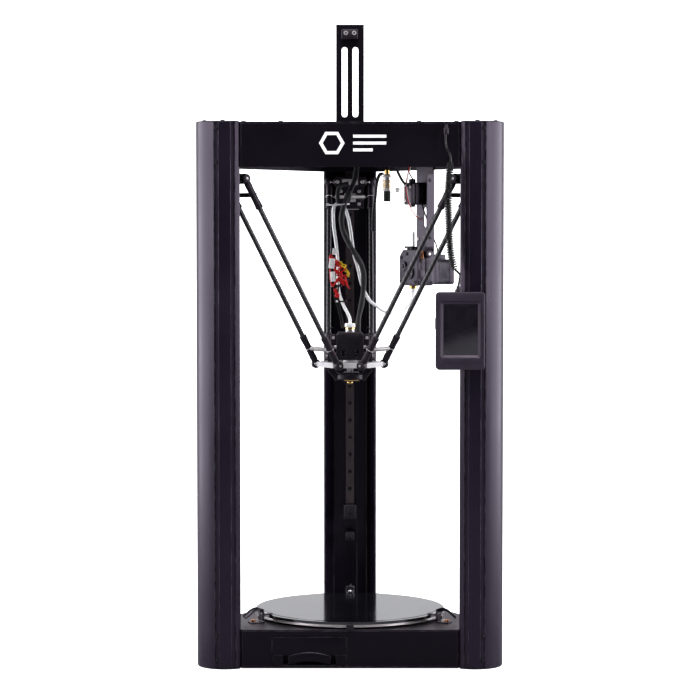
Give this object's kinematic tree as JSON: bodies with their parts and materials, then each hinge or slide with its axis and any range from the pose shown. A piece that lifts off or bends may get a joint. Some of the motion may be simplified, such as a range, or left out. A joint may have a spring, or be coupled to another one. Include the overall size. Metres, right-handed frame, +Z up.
{
  "type": "delta 3d printer",
  "caption": "Free-standing delta 3D printer with round heated bed, vertical rail columns, sprung ball arms carrying a hot end, side feeder and clip-on touch screen.",
  "frame": {"origin": "centre of the bed's top face, the printer's own zero point", "axes": "+Z up, +X to the right seen from the front, +Y to the back, towards the single rear column; the drawer and the screen face -Y"},
  "size_m": [0.4102, 0.394, 0.88],
  "materials": {
    "anodised_column": "satin black anodised",
    "black_sheet": "fine textured black powder coat",
    "black_screws": "blackened",
    "foot_rubber": "matt",
    "rail_steel": "ground, lightly oiled",
    "belt_rubber": "matt",
    "pulley_aluminium": "turned",
    "motor_black": "black with bare laminations",
    "drawer_plastic": "fine grain",
    "supply_case": "folded sheet",
    "black_plastic": "fine grain",
    "rocker_red": "gloss",
    "bed_glass": "dark coated glass, satin",
    "heater_aluminium": "milled",
    "clip_steel": "black",
    "ball_steel": "polished",
    "arm_carbon": "twill carbon tube in moulded ends",
    "effector_aluminium": "bead blasted",
    "heatsink_aluminium": "turned",
    "nozzle_brass": "turned",
    "feeder_plastic": "fine grain",
    "screen_shell": "fine grain",
    "screen_glass": "gloss",
    "white_tube": "waxy",
    "braided_sleeve": "braided",
    "cable_jacket": "satin"
  },
  "bodies": {
    "frame": {"tower_rear": "anodised_column", "tower_left": "anodised_column", "tower_right": "anodised_column", "frame_screws": "black_screws", "tower_feet": "foot_rubber", "linear_rails": "rail_steel", "belts": "belt_rubber", "stepper_motors": "motor_black", "base_wall": "black_sheet", "base_bottom_plate": "black_sheet", "base_top_plate": "black_sheet", "top_frame": "black_sheet", "top_cover": "black_sheet", "power_supply": "supply_case", "power_inlet": "black_plastic", "spool_bracket": "black_sheet", "bed_glass": "bed_glass", "heater_plate": "heater_aluminium", "bed_clips": "clip_steel", "feeder_bracket": "black_sheet", "feeder_housing": "feeder_plastic", "feeder_motor": "motor_black", "filament_sensor": "black_plastic", "screen_holder": "black_plastic", "ptfe_tube": "white_tube", "cable_loom": "braided_sleeve", "coil_cable": "cable_jacket"},
    "effector": {"effector_plate": "effector_aluminium", "effector_studs": "ball_steel", "hotend": "heatsink_aluminium", "nozzle": "nozzle_brass", "hotend_shroud": "black_plastic"},
    "tool_drawer": {"tool_drawer": "drawer_plastic"},
    "touch_screen": {"screen_case": "screen_shell", "screen_glass": "screen_glass"},
    "fan_rotor": {"hotend_fan": "black_plastic"},
    "feeder_gear": {"feeder_gear": "pulley_aluminium"},
    "feeder_lever": {"feeder_lever": "feeder_plastic"},
    "power_rocker": {"power_rocker": "rocker_red"},
    "carriage_rear": {"carriage_rear": "black_plastic", "rail_block_rear": "rail_steel", "ball_axle_rear": "ball_steel"},
    "idler_rear": {"idler_rear": "pulley_aluminium"},
    "drive_pulley_rear": {"drive_pulley_rear": "pulley_aluminium"},
    "arm_rear_a": {"arm_rear_a": "arm_carbon"},
    "arm_rear_b": {"arm_rear_b": "arm_carbon"},
    "carriage_left": {"carriage_left": "black_plastic", "rail_block_left": "rail_steel", "ball_axle_left": "ball_steel"},
    "idler_left": {"idler_left": "pulley_aluminium"},
    "drive_pulley_left": {"drive_pulley_left": "pulley_aluminium"},
    "arm_left_a": {"arm_left_a": "arm_carbon"},
    "arm_left_b": {"arm_left_b": "arm_carbon"},
    "carriage_right": {"carriage_right": "black_plastic", "rail_block_right": "rail_steel", "ball_axle_right": "ball_steel"},
    "idler_right": {"idler_right": "pulley_aluminium"},
    "drive_pulley_right": {"drive_pulley_right": "pulley_aluminium"},
    "arm_right_a": {"arm_right_a": "arm_carbon"},
    "arm_right_b": {"arm_right_b": "arm_carbon"}
  },
  "joints": [
    {"name": "head_lift", "type": "slide", "parent": "frame", "child": "effector", "axis": [0, 0, 1], "range_m": [-0.308, 0.008]},
    {"name": "carriage_rear_slide", "type": "slide", "parent": "frame", "child": "carriage_rear", "axis": [0, 0, 1], "range_m": [-0.309, 0.009]},
    {"name": "arm_rear_a_twist", "type": "hinge", "parent": "carriage_rear", "child": "arm_rear_a", "pos_m": [-0.03, 0.178, 0.5897], "axis": [0, 0.4893, 0.8721], "range_deg": [-12, 12]},
    {"name": "arm_rear_b_twist", "type": "hinge", "parent": "carriage_rear", "child": "arm_rear_b", "pos_m": [0.03, 0.178, 0.5897], "axis": [0, 0.4893, 0.8721], "range_deg": [-12, 12]},
    {"name": "drive_pulley_rear_spin", "type": "hinge", "parent": "frame", "child": "drive_pulley_rear", "pos_m": [0.017, 0.2, -0.037], "axis": [0, 1, 0], "range_deg": [-2790.1, 2790.1]},
    {"name": "idler_rear_spin", "type": "hinge", "parent": "frame", "child": "idler_rear", "pos_m": [0.017, 0.2, 0.639], "axis": [0, 1, 0], "range_deg": [-2790.1, 2790.1]},
    {"name": "carriage_left_slide", "type": "slide", "parent": "frame", "child": "carriage_left", "axis": [0, 0, 1], "range_m": [-0.309, 0.009]},
    {"name": "arm_left_a_twist", "type": "hinge", "parent": "carriage_left", "child": "arm_left_a", "pos_m": [-0.13915, -0.11498, 0.5897], "axis": [-0.4237, -0.2446, 0.8721], "range_deg": [-12, 12]},
    {"name": "arm_left_b_twist", "type": "hinge", "parent": "carriage_left", "child": "arm_left_b", "pos_m": [-0.16915, -0.06302, 0.5897], "axis": [-0.4237, -0.2446, 0.8721], "range_deg": [-12, 12]},
    {"name": "drive_pulley_left_spin", "type": "hinge", "parent": "frame", "child": "drive_pulley_left", "pos_m": [-0.18171, -0.08528, -0.037], "axis": [-0.866, -0.5, 0], "range_deg": [-2790.1, 2790.1]},
    {"name": "idler_left_spin", "type": "hinge", "parent": "frame", "child": "idler_left", "pos_m": [-0.18171, -0.08528, 0.639], "axis": [-0.866, -0.5, 0], "range_deg": [-2790.1, 2790.1]},
    {"name": "carriage_right_slide", "type": "slide", "parent": "frame", "child": "carriage_right", "axis": [0, 0, 1], "range_m": [-0.309, 0.009]},
    {"name": "arm_right_a_twist", "type": "hinge", "parent": "carriage_right", "child": "arm_right_a", "pos_m": [0.16915, -0.06302, 0.5897], "axis": [0.4237, -0.2446, 0.8721], "range_deg": [-12, 12]},
    {"name": "arm_right_b_twist", "type": "hinge", "parent": "carriage_right", "child": "arm_right_b", "pos_m": [0.13915, -0.11498, 0.5897], "axis": [0.4237, -0.2446, 0.8721], "range_deg": [-12, 12]},
    {"name": "drive_pulley_right_spin", "type": "hinge", "parent": "frame", "child": "drive_pulley_right", "pos_m": [0.1647, -0.11472, -0.037], "axis": [0.866, -0.5, 0], "range_deg": [-2790.1, 2790.1]},
    {"name": "idler_right_spin", "type": "hinge", "parent": "frame", "child": "idler_right", "pos_m": [0.1647, -0.11472, 0.639], "axis": [0.866, -0.5, 0], "range_deg": [-2790.1, 2790.1]},
    {"name": "drawer_slide", "type": "slide", "parent": "frame", "child": "tool_drawer", "axis": [0, -1, 0], "range_m": [0, 0.085]},
    {"name": "screen_lift_off", "type": "slide", "parent": "frame", "child": "touch_screen", "axis": [0, -1, 0], "range_m": [0, 0.03]},
    {"name": "fan_spin", "type": "hinge", "parent": "effector", "child": "fan_rotor", "pos_m": [0, 0.022, 0.3637], "axis": [0, 1, 0], "continuous": true},
    {"name": "feeder_gear_spin", "type": "hinge", "parent": "frame", "child": "feeder_gear", "pos_m": [0.09196, 0.06072, 0.462], "axis": [0.866, 0.5, 0], "continuous": true},
    {"name": "feeder_lever_swing", "type": "hinge", "parent": "frame", "child": "feeder_lever", "pos_m": [0.08376, 0.07492, 0.4495], "axis": [-0.866, -0.5, 0], "range_deg": [0, 6]},
    {"name": "rocker_tilt", "type": "hinge", "parent": "frame", "child": "power_rocker", "pos_m": [0.15962, -0.02447, -0.036], "axis": [0.5, -0.866, 0], "range_deg": [-4, 4]}
  ],
  "couplings": [
    {"joint": "carriage_rear_slide", "follows": "head_lift", "ratio": 1},
    {"joint": "drive_pulley_rear_spin", "follows": "head_lift", "rad_per_m": 157.08},
    {"joint": "idler_rear_spin", "follows": "head_lift", "rad_per_m": 157.08},
    {"joint": "carriage_left_slide", "follows": "head_lift", "ratio": 1},
    {"joint": "drive_pulley_left_spin", "follows": "head_lift", "rad_per_m": 157.08},
    {"joint": "idler_left_spin", "follows": "head_lift", "rad_per_m": 157.08},
    {"joint": "carriage_right_slide", "follows": "head_lift", "ratio": 1},
    {"joint": "drive_pulley_right_spin", "follows": "head_lift", "rad_per_m": 157.08},
    {"joint": "idler_right_spin", "follows": "head_lift", "rad_per_m": 157.08}
  ]
}
